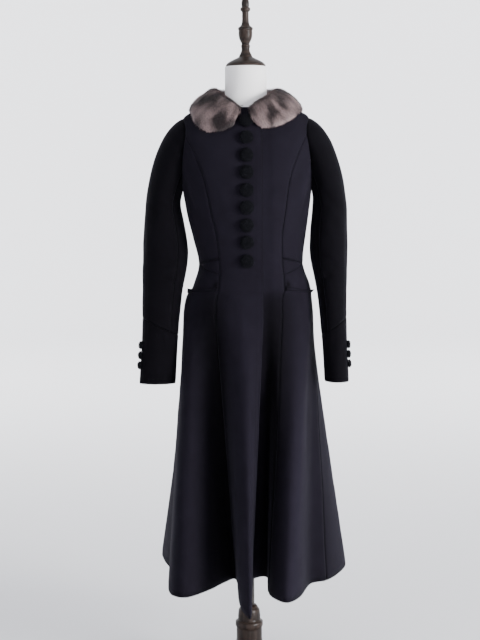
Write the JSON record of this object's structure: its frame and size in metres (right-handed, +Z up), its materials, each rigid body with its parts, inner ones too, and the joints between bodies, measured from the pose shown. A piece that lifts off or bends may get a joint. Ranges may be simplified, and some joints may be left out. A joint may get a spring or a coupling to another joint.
{
  "type": "princess-line wool coat with fur collar on a limbless dress form",
  "caption": "Long flared black wool coat with a fur collar and pile-covered buttons, worn by a limbless jersey dress form on a turned wooden stand.",
  "frame": {"origin": "middle of the stand's base on its underside, on the pole's axis", "axes": "+Z up along the pole; the coat's front faces -Y; the wearer's left arm is towards +X"},
  "size_m": [0.5408, 0.5464, 1.735],
  "materials": {
    "black_wool": "matte",
    "mink_fur": "satin",
    "button_pile": "matte",
    "form_jersey": "matte",
    "dark_wood": "satin",
    "pole_steel": "satin"
  },
  "bodies": {
    "root": {"form_torso": "form_jersey", "form_cap": "dark_wood", "form_finial": "dark_wood", "stand_pole": "pole_steel", "stand_riser": "dark_wood", "stand_base": "dark_wood", "front_right": "black_wool", "side_front_right": "black_wool", "waist_gusset_right": "black_wool", "side_skirt_right": "black_wool", "side_back_right": "black_wool", "back_right": "black_wool", "pocket_welt_right": "black_wool", "sleeve_top_right": "black_wool", "sleeve_under_right": "black_wool", "sleeve_cuff_right": "black_wool", "front_left": "black_wool", "side_front_left": "black_wool", "waist_gusset_left": "black_wool", "side_skirt_left": "black_wool", "side_back_left": "black_wool", "back_left": "black_wool", "pocket_welt_left": "black_wool", "sleeve_top_left": "black_wool", "sleeve_under_left": "black_wool", "sleeve_cuff_left": "black_wool", "fur_collar": "mink_fur", "front_button_1": "button_pile", "front_button_2": "button_pile", "front_button_3": "button_pile", "front_button_4": "button_pile", "front_button_5": "button_pile", "front_button_6": "button_pile", "front_button_7": "button_pile", "front_button_8": "button_pile", "front_button_9": "button_pile", "cuff_button_right_1": "button_pile", "cuff_button_right_2": "button_pile", "cuff_button_right_3": "button_pile", "cuff_button_left_1": "button_pile", "cuff_button_left_2": "button_pile", "cuff_button_left_3": "button_pile"}
  },
  "joints": []
}
